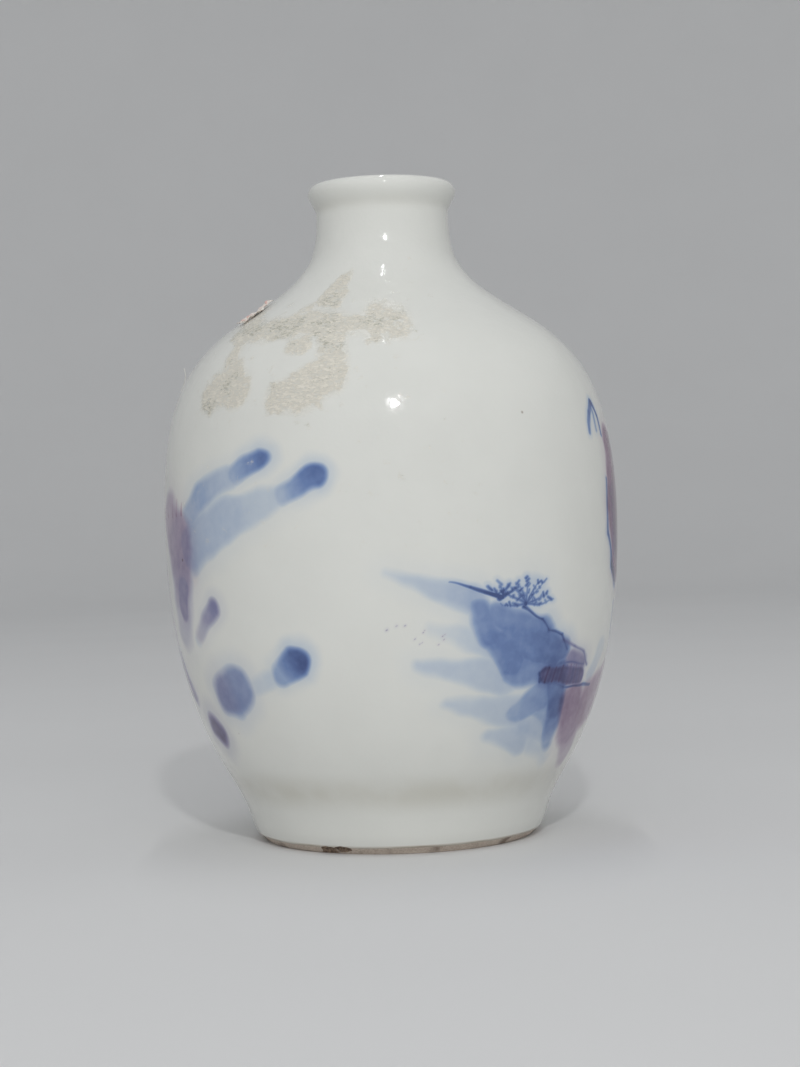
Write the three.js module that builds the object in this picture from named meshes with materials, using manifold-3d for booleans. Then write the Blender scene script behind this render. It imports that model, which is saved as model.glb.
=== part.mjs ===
// A small round porcelain snuff bottle, thrown in one piece: a full, egg-shaped body on a
// low foot ring, a short neck and a rolled lip. It is empty, and its stopper is lost.
// Millimetres, +Z up. The origin is the middle of the foot ring's resting face, and -Y
// is the plain front between the two painted banks.
import * as THREE from "three";
import { mergeVertices } from "three/addons/utils/BufferGeometryUtils.js";
import Module from "manifold-3d";

// Driving sizes.
const HEIGHT = 68;
const BELLY_RADIUS = 23.65;
const BELLY_HEIGHT = 32.4;
const NECK_RADIUS = 6.9;
const LIP_RADIUS = 7.72;
const BORE_RADIUS = 4.2;
const WALL = 2.4;
const FLOOR_THICKNESS = 3.2;

// The lip's flat top, where a stopper's collar sits.
const LIP_TOP_OUTER = 6.85;
const LIP_TOP_INNER = 5.15;

// The foot: a flat ring to stand on, a bare bevel up to the glaze, and a short upright band.
const RING_OUTER = 14.1;
const RING_INNER = 11.7;
const RECESS_DEPTH = 1.7;
const BEVEL_WIDTH = 0.7;
const GLAZE_LINE = 0.75;
const BAND_RADIUS = 15.38;
const BAND_HEIGHT = 2;
const COVE_SLOPE = 0.5; // how far the ring's inner side leans in
const COVE_WIDTH = 1.2; // the slanted corner between that side and the recessed base

// Two flakes are missing from the foot's edge. turn is in degrees from the front towards +X,
// and rise is the height of the flake's middle.
const FLAKES = [
  { turn: -29.5, length: 2.6, depth: 0.95, height: 0.8, rise: 0.05 },
  { turn: -23.2, length: 2.2, depth: 0.7, height: 0.55, rise: 0.35 },
];

// Roundness of the faceted solid.
const TURNS = 76;
const OUTSIDE_STEP = 2.9; // between points along the wall
const INSIDE_STEP = 4.6;
const LEAST_STEPS = 2;
const MERGE_DISTANCE = 1e-4;

// A place that the wall passes through, at radius r and height z, heading at a slope in degrees
// above the outward direction: 0 runs outwards, 90 straight up. before and after are how far
// the curve keeps to that heading on each side.
function station(r, z, heading, before, after = before) {
  const slope = THREE.MathUtils.degToRad(heading);
  const along = new THREE.Vector2(Math.cos(slope), Math.sin(slope));
  const at = new THREE.Vector2(r, z);
  return {
    at,
    arrive: at.clone().addScaledVector(along, -before),
    leave: at.clone().addScaledVector(along, after),
  };
}

// Points along the smooth curve through the stations, about a step apart.
function wallThrough(stations, step) {
  const points = [stations[0].at];
  for (let i = 1; i < stations.length; i++) {
    const [a, b] = [stations[i - 1], stations[i]];
    const piece = new THREE.CubicBezierCurve(a.at, a.leave, b.arrive, b.at);
    const steps = Math.max(LEAST_STEPS, Math.round(piece.getLength() / step));
    points.push(...piece.getSpacedPoints(steps).slice(1));
  }
  return points;
}

// The underside, from the axis out: the recessed base, and the foot ring that it stands on.
function underside() {
  const coveTop = RING_INNER - COVE_SLOPE;
  return [
    new THREE.Vector2(0, RECESS_DEPTH),
    new THREE.Vector2(coveTop - COVE_WIDTH, RECESS_DEPTH),
    new THREE.Vector2(coveTop, RECESS_DEPTH * 0.6),
    new THREE.Vector2(RING_INNER, 0),
    new THREE.Vector2(RING_OUTER, 0),
  ];
}

// The outside, from the bare bevel of the foot up to the flat top of the lip.
function outside() {
  const bevelTop = station(RING_OUTER + BEVEL_WIDTH, GLAZE_LINE, 55, 0.3);
  const band = station(BAND_RADIUS, BAND_HEIGHT, 72, 0.45, 1.8);
  const flare = station(17.85, 7.27, 58.5, 2.8, 6.3);
  const belly = station(BELLY_RADIUS, BELLY_HEIGHT, 90, 11.6, 12.2);
  const shoulder = station(15.49, 53.41, 146.3, 7, 8);
  const neck = station(NECK_RADIUS, 64.9, 90, 6.4, 0.75);
  const lip = station(LIP_RADIUS, 67.05, 90, 0.75, 0.5);
  const lipTop = station(LIP_TOP_OUTER, HEIGHT, 180, 0.5);
  return wallThrough(
    [bevelTop, band, flare, belly, shoulder, neck, lip, lipTop],
    OUTSIDE_STEP,
  );
}

// The inside, from the mouth down the bore and back to the axis at the floor.
function inside() {
  const floorHeight = RECESS_DEPTH + FLOOR_THICKNESS;
  const mouth = station(LIP_TOP_INNER, HEIGHT, 180, 0.45);
  const boreTop = station(BORE_RADIUS, 66.9, 270, 0.6, 1.5);
  const boreEnd = station(BORE_RADIUS, 60.2, 270, 1.5, 3.4);
  const shoulder = station(13.5, 51.6, 325, 5.4, 6);
  const belly = station(BELLY_RADIUS - WALL, BELLY_HEIGHT, 270, 11, 10.6);
  const floorCorner = station(14.6, 8.6, 235, 5.4, 2.6);
  const floorEdge = station(7.5, floorHeight, 180, 3.6);
  const floorMiddle = station(0, floorHeight, 180, 1);
  return wallThrough(
    [mouth, boreTop, boreEnd, shoulder, belly, floorCorner, floorEdge, floorMiddle],
    INSIDE_STEP,
  );
}

// A mesh's shape as a solid that can be cut.
function solidOf(wasm, geometry) {
  const bare = geometry.clone();
  bare.deleteAttribute("normal");
  bare.deleteAttribute("uv");
  const merged = mergeVertices(bare, MERGE_DISTANCE);
  return new wasm.Manifold(
    new wasm.Mesh({
      numProp: 3,
      vertProperties: merged.attributes.position.array,
      triVerts: new Uint32Array(merged.index.array),
    }),
  );
}

function geometryOf(solid) {
  const mesh = solid.getMesh();
  return new THREE.BufferGeometry()
    .setAttribute("position", new THREE.BufferAttribute(mesh.vertProperties, 3))
    .setIndex(new THREE.BufferAttribute(mesh.triVerts, 1));
}

// The scoop that a flake leaves in the bevel, with its length along the rim.
function flakeScoop({ turn, length, depth, height, rise }) {
  const scoop = new THREE.SphereGeometry(1, 14, 10);
  scoop.scale(length / 2, depth, height);
  scoop.translate(0, -(RING_OUTER + BEVEL_WIDTH), rise);
  scoop.rotateZ(THREE.MathUtils.degToRad(turn));
  return scoop;
}

const wasm = await Module();
wasm.setup();

const turned = new THREE.LatheGeometry(
  [...underside(), ...outside(), ...inside()],
  TURNS,
);
turned.rotateX(Math.PI / 2);

let solid = solidOf(wasm, turned);
for (const flake of FLAKES)
  solid = solid.subtract(solidOf(wasm, flakeScoop(flake)));

const whiteGlaze = new THREE.MeshStandardMaterial({
  name: "white_glaze",
  color: 0xd9dbd5,
  roughness: 0.08,
  metalness: 0,
});

const bottle = new THREE.Mesh(geometryOf(solid), whiteGlaze);
bottle.name = "bottle";

const snuffBottle = new THREE.Group();
snuffBottle.add(bottle);

export default snuffBottle;
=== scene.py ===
# %% [markdown]
# # A small porcelain snuff bottle
# The real bottle is one piece of porcelain, thrown on a wheel, painted in cobalt blue and
# copper red, then covered with a clear, faintly cool glaze and fired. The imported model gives
# its size and place. This lesson turns a finer surface in the same place, paints it, lets it
# age a little, and lights it in a plain studio.

# %% Load the frame
import math
import random

import bmesh
import bpy
import numpy as np
from mathutils import Matrix, Vector, noise


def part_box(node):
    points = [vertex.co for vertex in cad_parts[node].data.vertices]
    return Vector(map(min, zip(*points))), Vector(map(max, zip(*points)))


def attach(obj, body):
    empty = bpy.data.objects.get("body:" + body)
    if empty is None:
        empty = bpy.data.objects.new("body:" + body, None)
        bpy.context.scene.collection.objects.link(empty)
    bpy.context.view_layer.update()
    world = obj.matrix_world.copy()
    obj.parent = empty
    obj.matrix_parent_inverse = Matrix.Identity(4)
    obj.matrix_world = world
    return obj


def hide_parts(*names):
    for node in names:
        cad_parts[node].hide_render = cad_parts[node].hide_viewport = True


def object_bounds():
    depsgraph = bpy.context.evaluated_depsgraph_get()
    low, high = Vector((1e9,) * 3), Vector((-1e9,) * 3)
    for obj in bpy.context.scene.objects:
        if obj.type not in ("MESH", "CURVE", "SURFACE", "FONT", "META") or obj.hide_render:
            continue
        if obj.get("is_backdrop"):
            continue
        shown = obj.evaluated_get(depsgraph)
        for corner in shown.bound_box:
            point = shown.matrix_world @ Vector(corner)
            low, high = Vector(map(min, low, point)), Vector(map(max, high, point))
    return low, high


MM = 0.001

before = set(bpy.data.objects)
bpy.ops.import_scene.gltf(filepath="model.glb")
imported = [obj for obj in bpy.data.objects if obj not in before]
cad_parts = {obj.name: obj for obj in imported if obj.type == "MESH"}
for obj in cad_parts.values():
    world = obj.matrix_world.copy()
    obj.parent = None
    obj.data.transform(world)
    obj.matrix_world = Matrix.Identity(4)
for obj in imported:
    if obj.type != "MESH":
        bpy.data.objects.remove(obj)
cad_box = [list(corner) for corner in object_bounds()]

low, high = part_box("bottle")
HEIGHT = high.z - low.z
BELLY = (high.x - low.x) / 2
print(f"bottle {HEIGHT / MM:.1f} mm tall, {BELLY * 2 / MM:.1f} mm across the belly")

# %% [markdown]
# ## The camera
# The bottle is seen from close by, as a person would hold it up: the camera is level with the
# middle of the belly, about 22 cm away, and rolled a little, so the bottle seems to lean.
# Being so near, it sees slightly less than half of the way round.

# %% Camera
CAMERA_DISTANCE = 220.6 * MM
CAMERA_HEIGHT = 34.2 * MM
AIM = Vector((0.9, 0, 31.42)) * MM
CAMERA_ROLL = 1.67  # degrees, clockwise
LENS = 70.85
SENSOR = 36

camera_data = bpy.data.cameras.new("camera")
camera_data.lens = LENS
camera_data.sensor_width = SENSOR
camera_data.clip_start = 0.01
camera_data.clip_end = 20
camera = bpy.data.objects.new("camera", camera_data)
bpy.context.scene.collection.objects.link(camera)
camera.location = (0, -CAMERA_DISTANCE, CAMERA_HEIGHT)
looking = (AIM - camera.location).to_track_quat("-Z", "Y").to_matrix().to_4x4()
roll = Matrix.Rotation(math.radians(-CAMERA_ROLL), 4, "Z")
camera.matrix_world = Matrix.Translation(camera.location) @ looking @ roll
bpy.context.scene.camera = camera
print(f"camera {CAMERA_DISTANCE / MM:.0f} mm away, {CAMERA_HEIGHT / MM:.0f} mm above the foot")

# %% [markdown]
# ## Small helpers for node trees
# Every finish here is a tree of nodes. Writing `math_node(tree, "ADD", a, b)` for each step
# keeps a tree as short to read as a formula. Any input may be a number or another node's
# output.

# %% Node helpers
def add_node(tree, kind, inputs=None, **settings):
    """A new node, with its settings made and its inputs filled or linked."""
    made = tree.nodes.new(kind)
    for name, value in settings.items():
        setattr(made, name, value)
    for key, value in (inputs or {}).items():
        fill(tree, made.inputs[key], value)
    return made


def fill(tree, socket, value):
    """Links a socket to another node's output, or sets its value."""
    if isinstance(value, bpy.types.NodeSocket):
        tree.links.new(value, socket)
    else:
        socket.default_value = value


def math_node(tree, operation, a, b=0.0, c=0.0, clamp=False):
    made = add_node(tree, "ShaderNodeMath", operation=operation, use_clamp=clamp)
    for socket, value in zip(made.inputs, (a, b, c)):
        fill(tree, socket, value)
    return made.outputs[0]


def vector_node(tree, operation, a, b=(0, 0, 0), scale=1.0):
    """A step on vectors. The result is a number for a length or a dot product."""
    made = add_node(tree, "ShaderNodeVectorMath", operation=operation)
    for socket, value in ((0, a), (1, b), (3, scale)):
        fill(tree, made.inputs[socket], value)
    return made.outputs["Value" if operation in ("LENGTH", "DOT_PRODUCT") else 0]


def noise_node(tree, place, scale, detail, output="Fac", **inputs):
    """Noise at a place in millimetres. scale is in waves for each millimetre."""
    values = {"Vector": place, "Scale": scale, "Detail": detail, **inputs}
    return add_node(tree, "ShaderNodeTexNoise", values).outputs[output]


def remap(tree, value, start, end, low=0.0, high=1.0, kind="SMOOTHSTEP"):
    """value from start to end becomes low to high, held at both ends."""
    values = {"Value": value, 1: start, 2: end, 3: low, 4: high}
    held = kind == "LINEAR"  # a smooth step holds its ends by itself
    made = add_node(tree, "ShaderNodeMapRange", values, interpolation_type=kind, clamp=held)
    return made.outputs[0]


def mix_colour(tree, factor, a, b, blend="MIX"):
    made = add_node(tree, "ShaderNodeMix", data_type="RGBA", blend_type=blend)
    for socket, value in zip((made.inputs[0], made.inputs[6], made.inputs[7]), (factor, a, b)):
        fill(tree, socket, value)
    return made.outputs[2]


print("node helpers ready")

# %% Material helpers
def object_place(tree):
    """The point being shaded, in millimetres, from the object's own coordinates."""
    coordinates = add_node(tree, "ShaderNodeTexCoord").outputs["Object"]
    return vector_node(tree, "SCALE", coordinates, scale=1 / MM)


def new_material(name):
    """An empty material with one Principled shader. Returns it, its tree and the shader."""
    material = bpy.data.materials.new(name)
    material.use_nodes = True
    tree = material.node_tree
    tree.nodes.clear()
    shader = add_node(tree, "ShaderNodeBsdfPrincipled")
    output = add_node(tree, "ShaderNodeOutputMaterial")
    tree.links.new(shader.outputs[0], output.inputs["Surface"])
    return material, tree, shader


print("material helpers ready")

# %% [markdown]
# ## The profile
# A thrown pot is a profile spun round an axis, so its shape is one curve. A turner thinks of
# it as a few places with a slope at each: the belly, the shoulder, the neck, the lip. Those
# become Bezier points here. Lengths are written as for a bottle 68 mm tall and scaled to the
# frame's. The profile is cut into five parts, because the foot and the lip need a finer
# surface than the belly, and the hidden inside a coarser one.

# %% Profile stations
TALL = 68  # millimetres, the height that the numbers below are for
WIDE = 23.65

UNDERSIDE = [
    (0, 1.75, 0, 3),
    (9.4, 1.62, -6, 3, 0.9),
    (11.1, 0.95, -62, 0.5, 0.3),
    (11.78, 0.14, -70, 0.25, 0.1),
]
FOOT = [
    (11.78, 0.14, -70, 0.1),
    (12.05, 0, 0, 0.15, 0.5),
    (13.85, 0, 0, 0.5, 0.12),
    (14.1, 0.13, 62, 0.12, 0.2),
    (14.68, 0.7, 50, 0.2, 0.03),
    (14.84, 0.74, 62, 0.05, 0.1),
    (15.38, 2, 72, 0.6, 0.45),
]
WALL = [
    (15.38, 2, 72, 0.45, 1.8),
    (17.85, 7.27, 58.5, 2.8, 6.3),
    (23.65, 32.4, 90, 11.6, 12.2),
    (15.49, 53.41, 146.3, 7, 8),
    (6.9, 64.9, 90, 6.4, 0.2),
]
LIP = [
    (6.9, 64.9, 90, 6.4, 0.75),
    (7.72, 67.05, 90, 0.75, 0.5),
    (6.85, 68, 180, 0.5),
    (5.15, 68, 180, 0.5, 0.45),
    (4.2, 66.9, 270, 0.6, 0.4),
]
INSIDE = [
    (4.2, 66.9, 270, 0.6, 1.5),
    (4.2, 60.2, 270, 1.5, 3.4),
    (13.5, 51.6, 325, 5.4, 6),
    (21.25, 32.4, 270, 11, 10.6),
    (14.6, 8.6, 235, 5.4, 2.6),
    (7.5, 4.9, 180, 3.6),
    (0, 4.9, 180, 1),
]
PARTS = [UNDERSIDE, FOOT, WALL, LIP, INSIDE]
print(f"{len(PARTS)} parts and {sum(map(len, PARTS))} stations")

# %% Draw the profile
def add_part(curve, stations):
    """One part of the profile as a Bezier spline: X out, and Y down, as a swept profile hangs."""
    across = BELLY / WIDE
    up = HEIGHT / TALL
    spline = curve.splines.new("BEZIER")
    spline.bezier_points.add(len(stations) - 1)
    for point, (radius, height, heading, before, *rest) in zip(spline.bezier_points, stations):
        after = rest[0] if rest else before
        slope = math.radians(heading)
        along = Vector((math.cos(slope), math.sin(slope)))
        at = Vector((radius, height))
        point.handle_left_type = point.handle_right_type = "FREE"
        for name, where in (
            ("co", at),
            ("handle_left", at - along * before),
            ("handle_right", at + along * after),
        ):
            setattr(point, name, (where.x * across, -where.y * up, 0))


profile = bpy.data.curves.new("bottle profile", "CURVE")
profile.dimensions = "3D"
profile.resolution_u = 64
for part in PARTS:
    add_part(profile, part)
print(f"profile of {len(profile.splines)} splines")

# %% [markdown]
# ## Spin the profile with Geometry Nodes
# Blender's Screw modifier could turn the profile, but it gives every part the same rows. A
# Geometry Nodes tree can do more: it cuts each part into rows of its own length, sweeps the
# rows round a circle too small to see, and welds the parts. A hand on the clay is never quite
# even, so a soft noise then moves the wall in and out by a few hundredths of a millimetre,
# the shoulder is drawn a little to one side, and a faint ridge is left where the neck begins.

# %% The hand of the thrower
TRUE_FOOT = (3, 12)  # the wall is true at the first height and free at the second
TRUE_LIP = (66, 58)
SHOULDER = ((34, 46), (64, 56))  # the lean grows and dies between these heights
RIDGE_HEIGHT = 58.6  # the neck is joined on here
RIDGE_REACH = 1.9


def between(tree, height, rise, fall):
    """1 between two ramps of height, and 0 beyond them."""
    return math_node(tree, "MULTIPLY", remap(tree, height, *rise), remap(tree, height, *fall))


def hand_of_the_thrower(tree, given):
    """How far each point leaves the true circle: uneven in and out, and leaning at the shoulder."""
    place = add_node(tree, "GeometryNodeInputPosition").outputs[0]
    in_mm = vector_node(tree, "SCALE", place, scale=1 / MM)
    height = add_node(tree, "ShaderNodeSeparateXYZ", {0: in_mm}).outputs["Z"]
    free = between(tree, height, TRUE_FOOT, TRUE_LIP)
    swell = math_node(tree, "SUBTRACT", noise_node(tree, in_mm, 0.06, 1.0), 0.5)
    amount = math_node(tree, "MULTIPLY", swell, given["Unevenness"])
    amount = math_node(tree, "MULTIPLY", amount, free)
    off_ridge = math_node(tree, "ABSOLUTE", math_node(tree, "SUBTRACT", height, RIDGE_HEIGHT))
    near_ridge = remap(tree, off_ridge, RIDGE_REACH, 0.0)
    amount = math_node(tree, "MULTIPLY_ADD", near_ridge, given["Neck ridge"], amount)
    outward = vector_node(tree, "NORMALIZE", vector_node(tree, "MULTIPLY", in_mm, (1, 1, 0)))
    uneven = vector_node(tree, "SCALE", outward, scale=amount)
    at_shoulder = between(tree, height, *SHOULDER)
    lean = math_node(tree, "MULTIPLY", at_shoulder, given["Shoulder lean"])
    leaning = vector_node(tree, "SCALE", (-1, 0, 0), scale=lean)
    return vector_node(tree, "ADD", uneven, leaning)


print(f"the wall is true below {TRUE_FOOT[0]} mm and above {TRUE_LIP[0]} mm")

# %% The tree's inputs
ROWS = {"underside": 0.9, "foot": 0.13, "wall": 0.36, "lip": 0.2, "inside": 1.15}
COLUMNS = 240


def add_input(tree, name, kind, value=None):
    socket = tree.interface.new_socket(name, in_out="INPUT", socket_type=kind)
    if value is not None:
        socket.default_value = value
    return socket.identifier


def spinning_inputs(tree):
    """Gives the tree its inputs. Returns their identifiers, by which a modifier sets them."""
    names = {"Geometry": add_input(tree, "Geometry", "NodeSocketGeometry")}
    for part, step in ROWS.items():
        names[part] = add_input(tree, f"{part} row", "NodeSocketFloat", step * MM)
    names["Columns"] = add_input(tree, "Columns", "NodeSocketInt", COLUMNS)
    for name in ("Unevenness", "Shoulder lean", "Neck ridge"):
        names[name] = add_input(tree, name, "NodeSocketFloat", 0.0)
    names["Finish"] = add_input(tree, "Finish", "NodeSocketMaterial")
    return names


def row_of_part(tree, index, given):
    """The length of the rows in each part of the profile."""
    row = add_node(tree, "GeometryNodeIndexSwitch", data_type="FLOAT")
    for _ in range(len(ROWS) - 2):
        row.index_switch_items.new()
    fill(tree, row.inputs["Index"], index)
    for i, part in enumerate(ROWS):
        fill(tree, row.inputs[i + 1], given[f"{part} row"])
    return row.outputs[0]


print(f"{COLUMNS} columns, and rows of {min(ROWS.values())} to {max(ROWS.values())} mm")

# %% The spinning tree
SWEEP_RADIUS = 0.001  # millimetres: the circle that the rows are swept round
WELD_DISTANCE = 0.006
PART_ATTRIBUTE = "profile_part"


def spinning_tree():
    """Spins a profile of several splines round Z. Returns the tree and its inputs' names."""
    tree = bpy.data.node_groups.new("spin a profile", "GeometryNodeTree")
    names = spinning_inputs(tree)
    tree.interface.new_socket("Geometry", in_out="OUTPUT", socket_type="NodeSocketGeometry")
    given = add_node(tree, "NodeGroupInput").outputs

    index = add_node(tree, "GeometryNodeInputIndex").outputs[0]
    row = row_of_part(tree, index, given)
    labelled = add_node(
        tree,
        "GeometryNodeStoreNamedAttribute",
        {"Geometry": given["Geometry"], "Name": PART_ATTRIBUTE, "Value": index},
        data_type="FLOAT",
        domain="CURVE",
    )
    cut = add_node(
        tree,
        "GeometryNodeResampleCurve",
        {"Curve": labelled.outputs[0], "Length": row},
        mode="LENGTH",
    )
    circle = add_node(
        tree,
        "GeometryNodeCurvePrimitiveCircle",
        {"Resolution": given["Columns"], "Radius": SWEEP_RADIUS * MM},
    )
    turned = add_node(tree, "GeometryNodeReverseCurve", {"Curve": circle.outputs[0]})
    swept = add_node(
        tree,
        "GeometryNodeCurveToMesh",
        {"Curve": turned.outputs[0], "Profile Curve": cut.outputs[0]},
    )
    welded = add_node(
        tree,
        "GeometryNodeMergeByDistance",
        {"Geometry": swept.outputs[0], "Distance": WELD_DISTANCE * MM},
    )
    moved = add_node(
        tree,
        "GeometryNodeSetPosition",
        {"Geometry": welded.outputs[0], "Offset": hand_of_the_thrower(tree, given)},
    )
    smooth = add_node(tree, "GeometryNodeSetShadeSmooth", {"Geometry": moved.outputs[0]})
    real = add_node(tree, "GeometryNodeRealizeInstances", {"Geometry": smooth.outputs[0]})
    finished = add_node(
        tree,
        "GeometryNodeSetMaterial",
        {"Geometry": real.outputs[0], "Material": given["Finish"]},
    )
    output = add_node(tree, "NodeGroupOutput")
    tree.links.new(finished.outputs[0], output.inputs["Geometry"])
    return tree, names


spin, spin_inputs = spinning_tree()
print(f"tree '{spin.name}' with {len(spin.nodes)} nodes")

# %% [markdown]
# ## The picture, mark by mark
# The painter worked with a loaded brush on the raw clay: a wash is one wide, wet stroke, a
# rock's rounded spur is a stroke that ends in a pool of dark blue, and a twig is a thin one.
# So one small node group is enough for the whole picture. It draws a stroke as a line with a
# width and a strength at each end and a soft edge, because the glaze lets the blue bleed.
# It could be painted on an unwrapped texture, but strokes can be moved, thinned and repeated
# by a loop, and they stay sharp at any size. A place on the bottle is a turn in degrees from
# the front, towards the right hand, and a height in millimetres.

# %% The brush
OVERLAP = 0.15  # how much of the fainter mark shows where two cross
HAZE = 0.13  # the strength of the haze that bleeds out of a mark
HAZE_REACH = 3.5  # how far it goes, in widths of the soft edge


def brush_group():
    """A node group that adds one stroke to the ink below it."""
    tree = bpy.data.node_groups.new("brush mark", "ShaderNodeTree")
    for name in ("Place", "Start", "Along"):
        tree.interface.new_socket(name, in_out="INPUT", socket_type="NodeSocketVector")
    for name in ("Start Width", "End Width", "Start Ink", "End Ink", "Softness", "Below"):
        tree.interface.new_socket(name, in_out="INPUT", socket_type="NodeSocketFloat")
    tree.interface.new_socket("Ink", in_out="OUTPUT", socket_type="NodeSocketFloat")
    given = add_node(tree, "NodeGroupInput").outputs
    along = given["Along"]
    away = vector_node(tree, "SUBTRACT", given["Place"], given["Start"])
    progress = vector_node(tree, "DOT_PRODUCT", away, along)
    length_squared = vector_node(tree, "DOT_PRODUCT", along, along)
    progress = math_node(tree, "DIVIDE", progress, length_squared)
    share = add_node(tree, "ShaderNodeClamp", {"Value": progress}).outputs[0]
    nearest = vector_node(tree, "SCALE", along, scale=share)
    distance = vector_node(tree, "LENGTH", vector_node(tree, "SUBTRACT", away, nearest))
    growth = math_node(tree, "SUBTRACT", given["End Width"], given["Start Width"])
    width = math_node(tree, "MULTIPLY_ADD", growth, share, given["Start Width"])
    outside = math_node(tree, "SUBTRACT", distance, width)
    inner = math_node(tree, "MULTIPLY", given["Softness"], -1.0)
    cover = remap(tree, outside, given["Softness"], inner)
    haze_end = math_node(tree, "MULTIPLY", given["Softness"], HAZE_REACH)
    haze = remap(tree, outside, haze_end, 0.0, 0.0, HAZE)
    cover = math_node(tree, "MAXIMUM", cover, haze)
    change = math_node(tree, "SUBTRACT", given["End Ink"], given["Start Ink"])
    strength = math_node(tree, "MULTIPLY_ADD", change, share, given["Start Ink"])
    ink = math_node(tree, "MULTIPLY", strength, cover)
    fainter = math_node(tree, "MINIMUM", ink, given["Below"])
    darker = math_node(tree, "MAXIMUM", ink, given["Below"])
    total = math_node(tree, "MULTIPLY_ADD", fainter, OVERLAP, darker)
    output = add_node(tree, "NodeGroupOutput")
    tree.links.new(total, output.inputs["Ink"])
    return tree


brush = brush_group()
print(f"brush group of {len(brush.nodes)} nodes")

# %% Strokes
UNROLLED_RADIUS = 22  # millimetres: turns become lengths on a cylinder as wide as this
picture = []


def unrolled(turn, height, centre):
    """A place on the bottle as a flat point, measured from a turn at the centre."""
    from_centre = (turn - centre + 180) % 360 - 180
    return Vector((math.radians(from_centre) * UNROLLED_RADIUS, height, 0))


def stroke(pigment, path, widths, inks, soft):
    """Adds a stroke along a path of (turn, height) places. Widths are half-widths."""
    steps = len(path) - 1
    widths = np.interp(range(steps + 1), np.linspace(0, steps, len(widths)), widths)
    inks = np.interp(range(steps + 1), np.linspace(0, steps, len(inks)), inks)
    for i in range(steps):
        picture.append(
            {
                "pigment": pigment,
                "ends": (path[i], path[i + 1]),
                "widths": (widths[i], widths[i + 1]),
                "inks": (inks[i], inks[i + 1]),
                "soft": soft,
            }
        )


def strokes(pigment, table):
    """Adds strokes of one pigment. Each row has a path, half-widths, strengths and a softness."""
    for path, widths, inks, soft in table:
        stroke(pigment, path, widths, inks, soft)


print(f"{len(picture)} marks so far")

# %% [markdown]
# ## The left bank
# On the left the land reaches out in rounded spurs. Each is a pale wash, then a short, darker
# one that stops in a pool, as a loaded brush leaves it where it is pressed and lifted. The
# land behind is copper red with a thin blue in it, and grass stands on it in short blades.

# %% The left bank
def purple(path, widths, strength, share_of_blue, soft, fade=1.0):
    """A wash of copper red with some blue in it. It grows or fades towards its end."""
    for pigment, share in (("red", 1.0), ("blue", share_of_blue)):
        inks = (strength * share, strength * share * fade)
        stroke(pigment, path, widths, inks, soft)


POOL = [(-50.2, 16.4), (-46.2, 16.8)]
BLUE_SPURS = [
    ([(-57.5, 33.8), (-52.5, 35.9), (-41.5, 37.7)], (1.3, 1.5, 1.0), (0.4, 0.46, 0.34), 0.6),
    ([(-40, 37.9), (-32, 39.2)], (0.85, 0.97), (0.45, 1.2), 0.5),
    ([(-57, 30.8), (-42, 33.6), (-27, 35.5)], (2.5, 2.2, 1.0), (0.44, 0.3, 0.2), 0.75),
    ([(-25.5, 35.6), (-17.9, 37.3)], (1.0, 1.2), (0.4, 1.2), 0.45),
    ([(-58.5, 21.6), (-49.4, 24.8)], (0.65, 0.85), (0.15, 0.62), 0.5),
    (POOL, (2.2, 2.35), (0.62, 0.66), 0.7),
    ([(-50, 15.4), (-47.6, 15.3)], (1.4, 1.4), (0.64, 0.62), 0.7),
    ([(-40, 17), (-32, 18)], (1.0, 0.9), (0.16, 0.18), 0.6),
    ([(-29, 18.5), (-24.6, 19.8)], (1.15, 1.42), (0.6, 1.5), 0.5),
]
RED_SPURS = [
    ([(-57.5, 22), (-49.4, 24.8)], (0.7, 0.9), (0.25, 0.45), 0.5),
    (POOL, (2.2, 2.3), (0.36, 0.2), 0.8),
]
strokes("blue", BLUE_SPURS)
strokes("red", RED_SPURS)
# a dark blot of copper red and blue: partly paint, partly painted shade, so it is made darker
purple([(-63.5, 12.6), (-61, 12.1)], (1.3, 1.3), 0.9, 0.95, 0.8)
# a dark purple mark on the left edge: partly a copper wash, partly painted shade where the wall
# turns away
purple([(-79, 19), (-73, 15.5)], (1.3, 1.0), 0.5, 0.9, 0.6)

PURPLE_BANK = [(-72, 33.8), (-65.5, 31), (-64.5, 27.5), (-67, 22.5)]
stroke("red", PURPLE_BANK, (2.6, 3.4, 2.5, 2.0), (0.48, 0.5, 0.42, 0.25), 1.1)
stroke("blue", PURPLE_BANK, (2.6, 3.4, 2.5, 2.0), (0.22, 0.3, 0.34, 0.2), 1.1)
purple([(-63.5, 26.8), (-65.5, 24.6)], (1.4, 1.3), 0.5, 1.0, 0.5)
stroke("red", [(-59, 31.5), (-58, 28.5)], (2.0, 1.4), (0.2, 0.2), 1.2)
for i, turn in enumerate((-81, -77, -73.5, -69, -65.5, -62)):
    blade = [(turn, 33.9), (turn + 0.4, 35.9 - 0.4 * (i % 3))]
    stroke("red", blade, (0.3, 0.12), (0.75, 0.4), 0.25)
    stroke("blue", blade, (0.25, 0.1), (0.2, 0.12), 0.25)
print(f"{len(picture)} marks after the left bank")

# %% [markdown]
# ## The rocky point
# On the right a point of land runs into the water. Its shoals are pale strokes that start
# thin and swell towards the rock. The rock is four wet, overlapping washes under a dark
# outline, with a bush on top. The bush is a loop: twigs that fan out, each with leaf dots.

# %% The rocky point
SHOALS = [
    ((-1.5, 28.1), (18.5, 25.3), (0.35, 1.45), (0.16, 0.42)),
    ((9, 22.6), (24, 21), (0.6, 1.6), (0.1, 0.24)),
    ((5.5, 19.2), (28, 17.6), (0.5, 1.9), (0.24, 0.28)),
    ((13, 15.3), (33, 14), (0.5, 1.7), (0.2, 0.28)),
    ((25.5, 11.9), (37, 11.2), (0.7, 1.4), (0.24, 0.3)),
]
for tip, root, widths, inks in SHOALS:
    stroke("blue", [tip, root], widths, inks, 0.7)

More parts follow.
